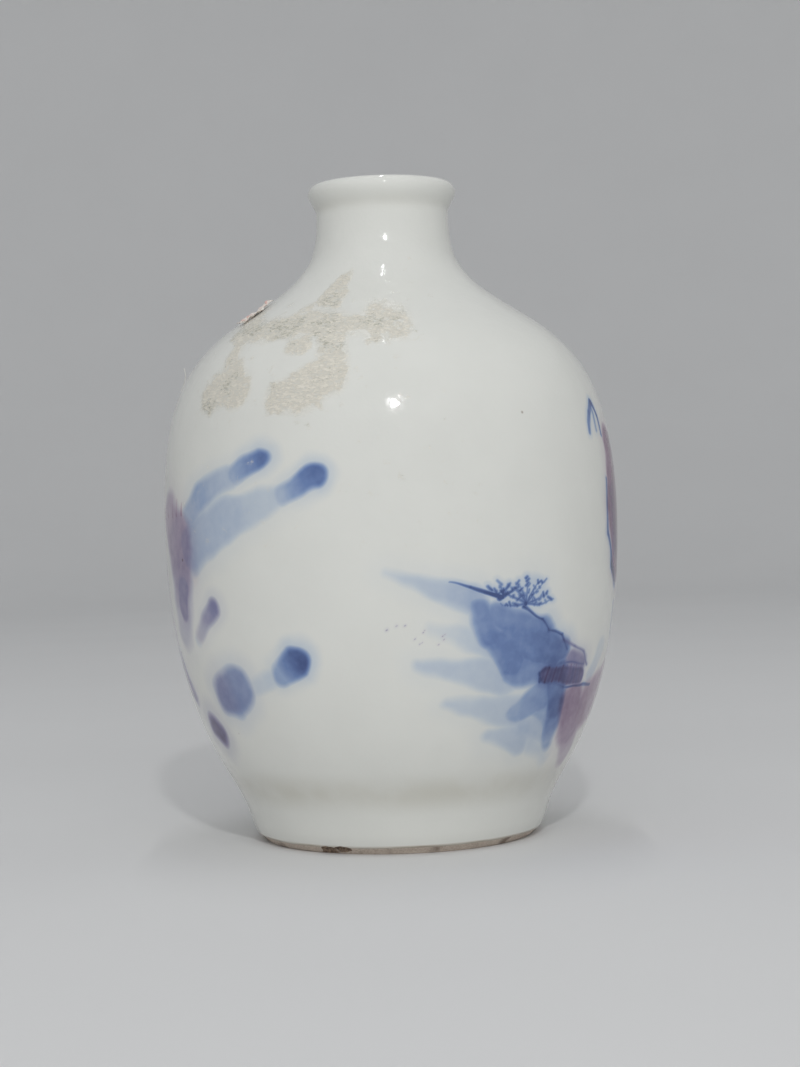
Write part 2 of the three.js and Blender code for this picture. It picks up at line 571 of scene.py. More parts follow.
ROCK_WASHES = [
    ((20.2, 24.5), (23.8, 21.6), (0.95, 1.25), (0.78, 0.84)),
    ((26, 21), (30.5, 18.9), (1.4, 1.5), (0.84, 0.86)),
    ((24.5, 23.7), (38, 21.6), (1.15, 1.7), (0.82, 0.92)),
    ((28.5, 21.3), (43, 19.6), (1.6, 1.7), (0.86, 1.02)),
    ((42, 20.4), (46.5, 19.9), (1.45, 1.3), (1.0, 1.05)),
    ((31.8, 18.1), (46, 18), (1.6, 1.5), (0.78, 0.92)),
]
for start, end, widths, inks in ROCK_WASHES:
    stroke("blue", [start, end], widths, inks, 0.6)
UNDER_THE_ROCK = [
    ([(33.5, 13.9), (41, 15.5)], (1.15, 1.7), (0.5, 0.72), 0.5),
    ([(42, 14.6), (47, 13.4)], (1.7, 1.7), (0.5, 0.5), 0.7),
    ([(46.4, 16.9), (48, 14), (48.9, 10.6)], (1.6, 1.55, 1.0), (1.0, 1.1, 0.55), 0.6),
    ([(37, 12.5), (46, 11.8)], (1.3, 1.2), (0.34, 0.34), 0.9),
    ([(42, 10.6), (51, 8.8)], (1.0, 0.8), (0.22, 0.12), 0.9),
]
strokes("blue", UNDER_THE_ROCK)
BRANCH = [(13.2, 27), (18.5, 26.5), (26, 25.4)]
stroke("blue", BRANCH, (0.09, 0.17, 0.26), (0.9, 1.4, 1.6), 0.15)
RIDGE = [(32.6, 24.2), (39, 22.9), (40.8, 21.8), (45.5, 21.5), (48.6, 20)]
stroke("blue", RIDGE, (0.17, 0.17), (1.5, 1.3), 0.2)
draw = random.Random(5)
for _ in range(12):  # a few spots of colour that fell off the brush
    turn = draw.uniform(-2, 12)
    spot = (turn, 22.6 - 0.1 * turn + draw.uniform(-0.7, 0.7))
    dot = [spot, (spot[0] + 0.2, spot[1] + 0.05)]
    strength = draw.uniform(0.25, 0.5)
    stroke("blue", dot, (0.035,), (strength * 0.7,), 0.07)
    stroke("red", dot, (0.035,), (strength,), 0.07)
print(f"{len(picture)} marks after the rocks and their shoals")

# %% Bushes
LEAF_PLACES = (0.3, 0.45, 0.6, 0.75, 0.9, 1.0)  # shares of a twig's length


def bush(turn, height, size, twigs, spread, seed):
    """Twigs that fan out from a root, with leaf dots along them. spread is in degrees."""
    draw = random.Random(seed)
    for i in range(twigs):
        lean = math.radians(spread * (i / (twigs - 1) - 0.5) + draw.uniform(-6, 6))
        reach = size * draw.uniform(0.75, 1.05)
        across = math.degrees(math.sin(lean) * reach / UNROLLED_RADIUS)
        rise = math.cos(lean) * reach
        twig = [(turn, height), (turn + across, height + rise)]
        stroke("blue", twig, (0.13, 0.07), (1.2, 0.8), 0.15)
        for place in LEAF_PLACES:
            share = place + draw.uniform(-0.07, 0.07)
            leaf = (turn + across * share + draw.uniform(-0.5, 0.5), height + rise * share)
            tip = (leaf[0] + draw.uniform(-0.9, 0.9), leaf[1] + draw.uniform(0.05, 0.35))
            stroke("blue", [leaf, tip], (0.15, 0.11), (draw.uniform(0.9, 1.4),), 0.2)


bush(33.2, 24.4, 3.2, 9, 170, seed=4)
bush(26.6, 25.3, 1.5, 4, 110, seed=6)
stroke("blue", [(25.6, 25.3), (30, 26.2)], (0.35, 0.15), (1.5, 1.0), 0.2)
stroke("blue", [(28, 25.6), (35, 25.7)], (1.0, 1.7), (0.2, 0.24), 0.9)
print(f"{len(picture)} marks after the rocky point")

# %% [markdown]
# ## A hut under the rocks, and the cliff beyond
# The hut is only suggested: a thatched roof of short upright strokes, blue and red in turn, on
# one long base line. The copper red turns purple wherever it lies over blue, so most of the
# land on the right edge is a red wash with a thin blue one in it. At the very edge that wash
# is partly a painted pink reflection.

# %% Hut and cliff
ROOF_LEFT = 40.6
ROOF_STROKES = 12
ROOF_PITCH = 1.45  # degrees from one stroke of the thatch to the next
purple([(41.4, 17.5), (57, 17)], (0.7, 0.95), 0.75, 1.15, 0.3)
for i in range(ROOF_STROKES):
    turn = ROOF_LEFT + i * ROOF_PITCH
    thatch = [(turn + 0.6, 18.1), (turn, 16.9 - 0.06 * i)]
    strength = 1.1 - 0.05 * i
    stroke("red" if i % 2 else "blue", thatch, (0.14, 0.18), (strength, strength), 0.16)
EAVES = [(39.8, 16.9), (39.2, 17.5), (42.5, 18.2), (47, 18.5), (58.5, 18.1)]
stroke("blue", EAVES, (0.3, 0.15), (1.4, 0.8), 0.2)
stroke("blue", [(39.8, 16.9), (50, 16.1), (65, 15.7)], (0.2, 0.13), (1.2, 1.1), 0.16)
purple([(46.5, 21), (52, 20.2), (56.5, 19.3), (60.5, 18)], (0.15, 0.15), 0.5, 1.4, 0.3)
purple([(51.5, 18.8), (57.5, 18.2)], (1.1, 0.8), 0.5, 1.1, 0.6)
stroke("blue", [(63.5, 16.6), (69, 19.5)], (0.8, 1.2), (0.2, 0.12), 0.5)
purple([(55.5, 14.2), (60, 12.2), (64, 9.3)], (2.2, 2.8, 1.7), 0.8, 0.42, 0.8, fade=0.5)
purple([(66, 13.6), (88, 16)], (2.6, 2.6), 0.75, 0.35, 0.8, fade=0.7)
stroke("blue", [(77, 23.7), (84, 14)], (0.2, 0.2), (0.8, 0.5), 0.15)

HOOK = [
    ([(60.6, 41), (63, 43), (66.6, 44.2)], (0.26, 0.34), (0.9, 1.4), 0.2),
    ([(66.6, 44.2), (68.6, 42.8), (69, 40.9)], (0.34, 0.24), (1.4, 1.1), 0.2),
    ([(65.6, 43.4), (65.4, 41.3)], (0.2, 0.2), (0.9, 0.7), 0.3),
]
strokes("blue", HOOK)
# the cliff's wash at the right edge: partly copper red and blue, partly a painted pink reflection
purple([(74.5, 40.2), (77, 34), (78, 28.5)], (1.8, 3.5, 2.7), 1.0, 0.3, 0.6, fade=0.9)
stroke("blue", [(68.2, 36.5), (67.8, 31), (71, 27.8), (77, 25.6)], (0.28, 0.38), (0.9, 1.5), 0.25)
stroke("blue", [(73, 35), (75, 29.5)], (1.4, 1.6), (0.45, 0.5), 0.9)
print(f"{len(picture)} marks after the cliff")

# %% [markdown]
# ## Round the back
# The far side is plainer, as a painter who sells bottles by the hundred would leave it. The
# cliff ends in two more spurs and a pine, a small boat lies off it, pale hills stand far away,
# and a few shoals lead back to the left bank.

# %% The far side
for step, (turn, height) in enumerate([(88, 37), (97, 31.5), (106, 25.5)]):
    foot = (turn - 6, height - 8)
    purple([(turn, height), foot], (1.8, 2.8), 0.75 - 0.1 * step, 0.3, 0.7, fade=0.35)
    stroke("blue", [(turn + 3, height), (turn + 1, height - 7)], (1.0, 1.7), (0.7, 0.25), 0.6)
    edge = [(turn - 3, height + 2.4), (turn + 5, height + 1), (turn + 7.5, height - 5)]
    stroke("blue", edge, (0.16, 0.22), (1.0, 1.2), 0.2)
bush(92, 39.6, 3.2, 7, 150, seed=8)
bush(108, 28.4, 2.2, 5, 150, seed=9)
stroke("blue", [(112, 22), (124, 20.6)], (1.9, 0.9), (0.7, 1.1), 0.5)
stroke("blue", [(106, 17), (121, 15)], (1.6, 0.8), (0.45, 0.7), 0.6)

for turn, height, width in ((134, 36, 1.7), (146, 37.6, 2.1), (160, 36.4, 1.6), (171, 37.2, 1.2)):
    hill = [(turn - 7, height - 2.4), (turn, height), (turn + 8, height - 2.6)]
    stroke("blue", hill, (0.5, width, 0.4), (0.12, 0.26, 0.1), 0.7)

turn, height = 152, 22  # the boat
hull = [(turn - 9, height + 0.5), (turn - 4, height - 0.4), (turn + 5, height - 0.3)]
stroke("blue", hull, (0.15, 0.4, 0.35), (1.0, 1.3), 0.18)
stroke("blue", [hull[-1], (turn + 10, height + 0.7)], (0.35, 0.12), (1.2, 0.9), 0.15)
purple([(turn - 3, height + 0.8), (turn + 3, height + 0.8)], (0.8, 0.8), 0.8, 0.5, 0.2)
stroke("blue", [(turn + 6, height), (turn + 5, height + 7)], (0.07, 0.07), (0.9, 0.7), 0.08)

for turn, height, reach in ((166, 13.5, 16), (188, 18.2, 19), (207, 12.2, 15), (220, 21.4, 15)):
    stroke("blue", [(turn, height), (turn + reach, height + 0.8)], (0.5, 1.4), (0.14, 0.3), 0.6)

purple([(271, 33.5), (276, 22)], (2.2, 2.6), 0.45, 0.6, 1.0, fade=0.6)
for root, height, tip in ((268, 33, 246), (270, 27, 243), (272, 20.5, 252)):
    stroke("blue", [(root, height), (tip, height + 2)], (2.0, 1.1), (0.44, 0.22), 0.75)
    stroke("blue", [(tip, height + 2.1), (tip - 6, height + 3.2)], (0.9, 1.2), (0.45, 1.15), 0.45)
bush(262, 36, 2.4, 6, 150, seed=12)
print(f"{len(picture)} marks in the picture")

# %% [markdown]
# ## Old glue on the shoulder
# A sticker was pulled off the shoulder long ago. What stays is a mat crust of glue and paper
# fibres, thick in some places and rubbed through to the glaze in others. It is laid down with
# the same brush, as a third pigment, and its finish then breaks it up with noise.

# %% Glue
CRUST = [
    ([(-51.5, 46), (-46, 46.8), (-41.5, 45.8)], (1.9, 2.2, 1.6), (1.0, 1.0), 0.9),
    ([(-49, 48.6), (-50.5, 51)], (1.1, 0.9), (0.9, 0.9), 0.8),
    ([(-70, 54.8), (-57, 52.8), (-50, 51.8)], (0.8, 1.2, 1.3), (0.6, 0.9), 0.9),
    ([(-50, 51.8), (-36, 52.2), (-20, 52.3), (-6, 52)], (1.2, 1.5, 1.0), (1.0, 0.95), 0.8),
    ([(-28.5, 45.1), (-22.5, 45.4), (-16, 46.8)], (1.4, 2.1, 2.0), (1.0, 1.0), 0.9),
    ([(-14.6, 47.6), (-16, 50.4)], (1.6, 1.6), (0.95, 0.9), 0.8),
    ([(-34, 53.6), (-31, 53.9)], (0.7, 0.7), (0.75, 0.75), 0.6),
    ([(-27.5, 55.3), (-21, 55)], (1.3, 1.3), (0.95, 0.95), 0.6),
    ([(-25.5, 56.8), (-21.5, 57.2)], (1.1, 1.1), (0.95, 0.9), 0.6),
    ([(-3, 52.4), (3.8, 52.2)], (2.1, 1.9), (0.95, 0.85), 1.0),
    ([(-28, 50.2), (-24, 50.3)], (0.8, 0.9), (0.9, 0.9), 0.6),
]
strokes("glue", CRUST)
print(f"{sum(mark['pigment'] == 'glue' for mark in picture)} marks of glue")

# %% [markdown]
# ## Lay the marks on a surface
# The wall is divided into eight sectors, and each sector into three fields by height. Every
# field has a material of its own, which holds only the marks that reach it, so a point that is
# shaded passes through the strokes near it and not through all four hundred. A field also
# measures turns from its own centre, so no picture has to cross the seam where the turn jumps
# from 180 to -180 degrees.

# %% Fields
SECTORS = 8
SECTOR_WIDTH = 360 / SECTORS
FIELD_EDGES = (0, 30.5, 44, 68)  # heights between which the fields lie
FIELD_ROWS = len(FIELD_EDGES) - 1
WARP = 0.2  # millimetres that the wet edges wander


def reaches(mark, field):
    """Whether a mark comes into a field, which is a centre and two heights."""
    centre, bottom, top = field
    margin = max(mark["widths"]) + HAZE_REACH * mark["soft"] + 2 * WARP
    lowest, highest = sorted(height for _, height in mark["ends"])
    if highest + margin < bottom or lowest - margin > top:
        return False
    half = math.radians(SECTOR_WIDTH / 2) * UNROLLED_RADIUS
    first, last = sorted(unrolled(*end, centre).x for end in mark["ends"])
    if last - first > UNROLLED_RADIUS * math.pi:
        return False  # on the far side, where the flat picture is cut
    return first - margin < half and last + margin > -half


fields = [
    (i * SECTOR_WIDTH, bottom, top)
    for i in range(SECTORS)
    for bottom, top in zip(FIELD_EDGES, FIELD_EDGES[1:])
]
reach_counts = [sum(reaches(mark, field) for mark in picture) for field in fields]
print(f"marks in each field, from the front towards the right: {reach_counts}")

# %% Ink in a field
def flat_place(tree, place, centre):
    """The surface unrolled round a centre, with the slow wander of a wet brush."""
    to_front = {"Vector": place, "Rotation": (0, 0, math.radians(-centre))}
    turned = add_node(tree, "ShaderNodeMapping", to_front).outputs[0]
    x, y, z = add_node(tree, "ShaderNodeSeparateXYZ", {0: turned}).outputs
    angle = math_node(tree, "ARCTAN2", x, math_node(tree, "MULTIPLY", y, -1.0))
    across = math_node(tree, "MULTIPLY", angle, UNROLLED_RADIUS)
    flat = add_node(tree, "ShaderNodeCombineXYZ", {"X": across, "Y": z}).outputs[0]
    swing = noise_node(tree, place, 0.4, 0.0, output="Color")
    swing = vector_node(tree, "SUBTRACT", swing, (0.5, 0.5, 0.5))
    swing = vector_node(tree, "MULTIPLY", swing, (4 * WARP, 4 * WARP, 0))
    return vector_node(tree, "ADD", flat, swing)


def ink_of(tree, flat, field, pigment):
    """The strength of one pigment, from every mark of it that reaches this field."""
    below = 0.0
    for mark in picture:
        if mark["pigment"] != pigment or not reaches(mark, field):
            continue
        start, end = (unrolled(*place, field[0]) for place in mark["ends"])
        values = {
            "Place": flat,
            "Start": start,
            "Along": end - start,
            "Start Width": mark["widths"][0],
            "End Width": mark["widths"][1],
            "Start Ink": mark["inks"][0],
            "End Ink": mark["inks"][1],
            "Softness": mark["soft"],
            "Below": below,
        }
        node = tree.nodes.new("ShaderNodeGroup")
        node.node_tree = brush
        for name, value in values.items():
            fill(tree, node.inputs[name], value)
        below = node.outputs["Ink"]
    return below


print(f"the busiest field holds {max(reach_counts)} marks")

# %% [markdown]
# ## The glaze
# Clear glaze over white porcelain is a smooth shell that reflects, over a body that scatters.
# A Principled shader with a low roughness gives both at once. Three small faults make it
# real: the surface ripples a little like orange peel, tiny specks are scattered over it, and
# a band under the lip is greyed. A grey band above the foot is painted shade, for the hollow
# where the waist curves in.
# Pigment under a glaze works as a filter, so its colour multiplies the white.

# %% Pigments
WHITE = (1, 1, 1, 1)
FULL_INK = 1.6  # the strength at the dark end of both colour scales
COBALT = [
    (0, WHITE),
    (0.2, (0.72, 0.8, 0.94, 1)),
    (0.6, (0.38, 0.5, 0.79, 1)),
    (1.0, (0.2, 0.305, 0.63, 1)),
    (1.35, (0.12, 0.19, 0.46, 1)),
    (1.6, (0.075, 0.12, 0.33, 1)),
]
COPPER = [
    (0, WHITE),
    (0.5, (0.77, 0.57, 0.64, 1)),
    (1.0, (0.53, 0.28, 0.36, 1)),
    (1.6, (0.35, 0.14, 0.18, 1)),
]


def filter_colour(tree, ink, scale):
    """The colour that white turns to under a strength of pigment."""
    share = math_node(tree, "DIVIDE", ink, FULL_INK, clamp=True)
    ramp = add_node(tree, "ShaderNodeValToRGB", {"Fac": share})
    stops = ramp.color_ramp.elements
    while len(stops) < len(scale):
        stops.new(0.5)
    for stop, (strength, colour) in zip(stops, scale):
        stop.position = strength / FULL_INK
        stop.color = colour
    return ramp.outputs["Color"]


print(f"{len(COBALT)} steps of cobalt and {len(COPPER)} of copper")

# %% White glaze
PORCELAIN = (0.79, 0.795, 0.752, 1)
# the grey of the band under the lip, and the painted shade of the band above the foot
GREY_BAND = (0.85, 0.835, 0.8, 1)
SPECK = (0.3, 0.22, 0.16, 1)
RIM_LINE = (0.42, 0.31, 0.22, 1)  # where the glaze stops, above the bare foot
ORANGE_PEEL = 0.016  # millimetres
GLAZE_ROUGHNESS = 0.07
UNDER_LIP = (65.4, 1.0)  # the grey band under the lip: its height, and its reach up and down
# painted shade: a grey band over the hollow where the waist curves in above the foot
SHADE_ABOVE_FOOT = (6.3, 2.6)


def band(tree, height, middle, reach):
    """1 at a height and 0 at a reach above or below it."""
    away = math_node(tree, "ABSOLUTE", math_node(tree, "SUBTRACT", height, middle))
    return remap(tree, away, reach, 0.0)


def white_with_grey_bands(tree, height, clouds):
    """White body, grey under the lip, painted shade above the foot. Returns the bands and patches.
    """
    cloudy = remap(tree, clouds, 0.3, 0.7, 0.975, 1.0)
    colour = mix_colour(tree, 1.0, PORCELAIN, cloudy, "MULTIPLY")
    under_lip = band(tree, height, *UNDER_LIP)
    # painted shade above the foot, in the hollow of the waist
    painted_shade_above_foot = band(tree, height, *SHADE_ABOVE_FOOT)
    grey_bands = math_node(tree, "MAXIMUM", math_node(tree, "MULTIPLY", under_lip, 0.5), painted_shade_above_foot)
    patchy = remap(tree, clouds, 0.35, 0.65, 0.4, 1.0)
    band_share = math_node(tree, "MULTIPLY", grey_bands, patchy)
    return mix_colour(tree, band_share, colour, GREY_BAND, "MULTIPLY"), grey_bands, patchy


def painted_over(tree, place, flat, field, colour):
    """A colour as it shows through every mark of red and blue that reaches a field."""
    grain = remap(tree, noise_node(tree, place, 0.9, 2.0), 0.25, 0.75, 0.92, 1.08)
    for pigment, scale in (("red", COPPER), ("blue", COBALT)):
        ink = ink_of(tree, flat, field, pigment)
        if ink == 0.0:
            continue
        ink = math_node(tree, "MULTIPLY", ink, grain)
        colour = mix_colour(tree, 1.0, colour, filter_colour(tree, ink, scale), "MULTIPLY")
    return colour


def specked(tree, place, colour):
    """A colour with tiny specks of grit from the kiln, each in a cell of its own."""
    cells = add_node(tree, "ShaderNodeTexVoronoi", {"Vector": place, "Scale": 0.22})
    speck = remap(tree, cells.outputs["Distance"], 0.055, 0.02)
    chance = noise_node(tree, cells.outputs["Position"], 7.3, 0.0)
    rare = math_node(tree, "GREATER_THAN", chance, 0.6)
    speck = math_node(tree, "MULTIPLY", speck, rare)
    return mix_colour(tree, math_node(tree, "MULTIPLY", speck, 0.8), colour, SPECK, "MULTIPLY")


print("white glaze ready")

# %% The crust of glue
GLUE_PALE = (0.83, 0.79, 0.695, 1)
GLUE_DARK = (0.66, 0.615, 0.51, 1)
GLUE_SPECK = (0.3, 0.3, 0.22, 1)
GLUE_ROUGHNESS = 0.55
GLUE_RELIEF = 2.2  # times the orange peel


def glue_over(tree, place, glue, colour, roughness, height):
    """Adds the crust of old glue to a finish: its colour, its roughness and its relief."""
    stretched = vector_node(tree, "MULTIPLY", place, (1.0, 1.0, 2.4))
    ragged = noise_node(tree, place, 0.7, 6.0, Roughness=0.7)
    fibres = noise_node(tree, stretched, 2.2, 5.0, Roughness=0.7, Distortion=0.8)
    edge = math_node(tree, "MULTIPLY_ADD", math_node(tree, "SUBTRACT", ragged, 0.5), 2.8, glue)
    cover = remap(tree, edge, 0.3, 0.85)
    rubbed = remap(tree, fibres, 0.36, 0.56, 0.3, 0.9)
    cover = math_node(tree, "MULTIPLY", cover, rubbed)
    crust = mix_colour(tree, remap(tree, fibres, 0.4, 0.62), GLUE_DARK, GLUE_PALE)
    specks = noise_node(tree, stretched, 2.1, 5.0, Roughness=0.8)
    dirty = remap(tree, noise_node(tree, place, 0.32, 1.0), 0.45, 0.65, 0.0, 0.12)
    specks = math_node(tree, "ADD", specks, dirty)
    crust = mix_colour(tree, remap(tree, specks, 0.6, 0.68, 0.0, 0.75), crust, GLUE_SPECK)
    film = math_node(tree, "MULTIPLY", remap(tree, glue, 0.02, 0.6), 0.25)
    shown = math_node(tree, "MAXIMUM", film, cover)
    colour = mix_colour(tree, shown, colour, crust)
    rough = remap(tree, shown, 0.0, 0.8, 0.0, GLUE_ROUGHNESS - GLAZE_ROUGHNESS, "LINEAR")
    roughness = math_node(tree, "ADD", roughness, rough)
    raised = math_node(tree, "MULTIPLY", cover, math_node(tree, "ADD", fibres, 0.4))
    height = math_node(tree, "MULTIPLY_ADD", raised, GLUE_RELIEF, height)
    return colour, roughness, height


print("crust ready")

# %% The glazed finishes
def glaze_finish(name, field=None):
    """Glaze over white porcelain, with the picture's marks when it covers a field."""
    material, tree, shader = new_material(name)
    place = object_place(tree)
    height = add_node(tree, "ShaderNodeSeparateXYZ", {0: place}).outputs["Z"]
    fine = noise_node(tree, place, 1.6, 1.0)
    clouds = noise_node(tree, place, 0.15, 3.0)
    colour, grey_bands, patchy = white_with_grey_bands(tree, height, clouds)
    if field is not None:
        flat = flat_place(tree, place, field[0])
        colour = painted_over(tree, place, flat, field, colour)
    rim = math_node(tree, "MULTIPLY", remap(tree, height, 1.0, 0.8, 0.0, 0.8), patchy)
    colour = mix_colour(tree, rim, colour, RIM_LINE, "MULTIPLY")
    colour = specked(tree, place, colour)

    roughness = remap(tree, fine, 0.35, 0.7, GLAZE_ROUGHNESS, GLAZE_ROUGHNESS + 0.03)
    roughness = math_node(tree, "MULTIPLY_ADD", grey_bands, 0.06, roughness)
    peel = math_node(tree, "MULTIPLY_ADD", fine, 0.55, noise_node(tree, place, 0.5, 0.0))
    peel = math_node(tree, "MULTIPLY_ADD", noise_node(tree, place, 3.4, 0.0), 0.24, peel)
    glue = 0.0 if field is None else ink_of(tree, flat, field, "glue")
    if glue != 0.0:
        colour, roughness, peel = glue_over(tree, place, glue, colour, roughness, peel)
    bump = add_node(tree, "ShaderNodeBump", {"Distance": ORANGE_PEEL * MM, "Height": peel})
    fill(tree, shader.inputs["Base Color"], colour)
    fill(tree, shader.inputs["Roughness"], roughness)
    fill(tree, shader.inputs["Normal"], bump.outputs[0])
    shader.inputs["IOR"].default_value = 1.5
    return material


painted = [glaze_finish(f"painted_glaze_{i}", field) for i, field in enumerate(fields)]
neck_glaze = glaze_finish("plain_glaze")
print(f"{sum(len(m.node_tree.nodes) for m in painted)} nodes in the painted finishes")

# %% [markdown]
# ## Bare clay
# Three places have no glaze. The foot ring is wiped clean before firing, so it doesn't stick
# to the kiln shelf; it fires a warm, sugary tan, with a brown line where the glaze stops. The
# two old flakes on its edge show the broken body. And the inside is hardly glazed at all.

# %% Biscuit, fracture and inside
def clay_finish(name, pale, dark, dirt, relief, stain_scale=0.35):
    """Unglazed porcelain: sandy, stained in patches, and quite mat."""
    material, tree, shader = new_material(name)
    place = object_place(tree)
    sand = noise_node(tree, place, 6.0, 4.0, Roughness=0.7)
    stain = noise_node(tree, place, stain_scale, 4.0)
    colour = mix_colour(tree, remap(tree, sand, 0.3, 0.65), dark, pale)
    colour = mix_colour(tree, remap(tree, stain, 0.5, 0.68, 0.0, 0.75), colour, dirt)
    bump = add_node(tree, "ShaderNodeBump", {"Distance": relief * MM, "Height": sand})
    fill(tree, shader.inputs["Base Color"], colour)
    fill(tree, shader.inputs["Roughness"], remap(tree, sand, 0.3, 0.7, 0.85, 0.6))
    fill(tree, shader.inputs["Normal"], bump.outputs[0])
    return material


BISCUIT = (0.7, 0.62, 0.54, 1)
BISCUIT_DARK = (0.5, 0.41, 0.34, 1)
FOOT_DIRT = (0.17, 0.115, 0.08, 1)
FRACTURE = (0.4, 0.3, 0.22, 1)
# near-black of the breaks: dirt, and painted shade in their scoops
FRACTURE_DIRT_AND_SHADE = (0.08, 0.05, 0.04, 1)
INSIDE_PALE = (0.66, 0.63, 0.57, 1)
INSIDE_DARK = (0.48, 0.43, 0.36, 1)
biscuit = clay_finish("biscuit_foot", BISCUIT, BISCUIT_DARK, FOOT_DIRT, 0.06)
# the breaks are mottled near-black: partly dirt, partly painted shade in the scoops
fracture = clay_finish("fracture", FRACTURE, FRACTURE_DIRT_AND_SHADE, FRACTURE_DIRT_AND_SHADE, 0.1, 0.9)
bare_inside = clay_finish("bare_inside", INSIDE_PALE, INSIDE_DARK, BISCUIT_DARK, 0.05, 0.12)
print("three bare finishes")

# %% [markdown]
# ## Turn the bottle
# The tree is a modifier on the profile, and `new_from_object` turns its result into a plain
# mesh. The unevenness is less than a finger would feel, but glaze is a mirror: on a perfect
# surface every glint has a perfect edge, and the bottle looks like plastic.

# %% Turn the bottle
UNEVENNESS = 0.16  # millimetres, over the whole swing of the noise
SHOULDER_LEAN = 0.15
NECK_RIDGE = 0.07


def as_mesh(thing, name):
    """The thing as its modifiers leave it, as a plain mesh object of its own."""
    graph = bpy.context.evaluated_depsgraph_get()
    mesh = bpy.data.meshes.new_from_object(thing.evaluated_get(graph))
    mesh.name = name
    made = bpy.data.objects.new(name, mesh)
    bpy.context.scene.collection.objects.link(made)
    return made


def spun(curve, name, finish, settings):
    """A profile curve spun by the tree, as a plain mesh."""
    holder = bpy.data.objects.new(name + " profile", curve)
    bpy.context.scene.collection.objects.link(holder)
    modifier = holder.modifiers.new("spin", "NODES")
    modifier.node_group = spin
    for key, value in {**settings, "Finish": finish}.items():
        modifier[spin_inputs[key]] = value
    made = as_mesh(holder, name)
    bpy.data.objects.remove(holder)
    return made


settings = {
    "Unevenness": UNEVENNESS * MM,
    "Shoulder lean": SHOULDER_LEAN * MM,
    "Neck ridge": NECK_RIDGE * MM,
}
bottle = spun(profile, "painted_bottle", neck_glaze, settings)
print(f"{len(bottle.data.polygons)} faces turned")

# %% [markdown]
# ## Share out the finishes
# The spun mesh remembers which part of the profile each face came from. That and a face's own
# height are enough to say what covers it: painted glaze in its fields, plain glaze on the
# neck, the lip and the recess under the foot, and bare clay on the ring and in the belly.

# %% Zones
GLAZE_LINE = 0.72  # millimetres above the ground, where the foot's bare clay ends
PICTURE_TOP = 60
UNDERSIDE_PART, FOOT_PART, WALL_PART, _, INSIDE_PART = range(len(PARTS))
RING_INSIDE = 11.3  # the recess is glazed up to here


def face_values(mesh):
    """Each face's profile part, and its middle's turn, height and distance from the axis."""
    parts = np.zeros(len(mesh.vertices))
    mesh.attributes[PART_ATTRIBUTE].data.foreach_get("value", parts)
    corners = np.zeros(len(mesh.loops), dtype=int)
    mesh.loops.foreach_get("vertex_index", corners)
    starts = np.zeros(len(mesh.polygons), dtype=int)
    mesh.polygons.foreach_get("loop_start", starts)
    counts = np.diff(np.append(starts, len(corners)))
    part = np.rint(np.add.reduceat(parts[corners], starts) / counts).astype(int)
    middle = np.zeros(len(mesh.polygons) * 3)
    mesh.polygons.foreach_get("center", middle)
    x, y, z = middle.reshape(-1, 3).T / MM
    return part, np.degrees(np.arctan2(x, -y)), z, np.hypot(x, y)


finishes = [*painted, neck_glaze, biscuit, bare_inside]
NECK, BISCUIT_SLOT, INSIDE_SLOT = range(len(painted), len(finishes))
bottle.data.materials.clear()
for finish in finishes:
    bottle.data.materials.append(finish)

part, turn, height, radius = face_values(bottle.data)
sector = np.rint(turn / SECTOR_WIDTH).astype(int) % SECTORS
outside = (part == FOOT_PART) | (part == WALL_PART)
row = np.searchsorted(FIELD_EDGES[1:-1], height)
slot = np.where(outside & (height < PICTURE_TOP), sector * FIELD_ROWS + row, NECK)
ring = (part == FOOT_PART) & (height < GLAZE_LINE)
ring |= (part == UNDERSIDE_PART) & (radius > RING_INSIDE)
slot[ring] = BISCUIT_SLOT
slot[part == INSIDE_PART] = INSIDE_SLOT
bottle.data.polygons.foreach_set("material_index", slot)
bottle.data.update()
for i in (NECK, BISCUIT_SLOT, INSIDE_SLOT):
    print(f"{np.count_nonzero(slot == i)} faces of {finishes[i].name}")

# %% [markdown]
# ## Break two flakes off the foot
# The flakes are cut, not painted: a Boolean modifier takes a lumpy pebble of space out of the
# edge, and the new faces take the pebble's own finish. A break in porcelain is a shallow,
# smooth scoop with a sharp rim, so the pebble is only a little uneven.

# %% Flakes
FLAKES = [
    {"turn": -29.5, "length": 2.6, "depth": 0.95, "height": 0.8, "rise": 0.05},
    {"turn": -23.2, "length": 2.2, "depth": 0.7, "height": 0.55, "rise": 0.35},
]
FLAKE_CENTRE = 14.8  # how far from the axis, in millimetres
FLAKE_UNEVEN = 0.22


def pebble(mesh, flake):
    """Adds a lumpy scoop to a bmesh, where a flake came off."""
    made = bmesh.ops.create_icosphere(mesh, subdivisions=4, radius=1.0)["verts"]
    turn = Matrix.Rotation(math.radians(flake["turn"]), 4, "Z")
    size = Vector((flake["length"] / 2, flake["depth"], flake["height"]))
    middle = Vector((0, -FLAKE_CENTRE, flake["rise"]))
    for vert in made:
        uneven = 1 + FLAKE_UNEVEN * noise.noise(vert.co * 1.7 + middle)
        vert.co = turn @ ((vert.co * uneven) * size + middle) * MM


cutter_mesh = bpy.data.meshes.new("flake cutter")
shape = bmesh.new()
for flake in FLAKES:
    pebble(shape, flake)
shape.to_mesh(cutter_mesh)
shape.free()
cutter_mesh.materials.append(fracture)
cutter = bpy.data.objects.new("flake cutter", cutter_mesh)
bpy.context.scene.collection.objects.link(cutter)

cut = bottle.modifiers.new("flakes", "BOOLEAN")
cut.operation = "DIFFERENCE"
cut.solver = "MANIFOLD"
cut.material_mode = "TRANSFER"
cut.object = cutter
whole = bottle
bottle = as_mesh(whole, "painted_bottle")
for spare in (whole, cutter):
    bpy.data.objects.remove(spare)
bottle.name = "painted_bottle"


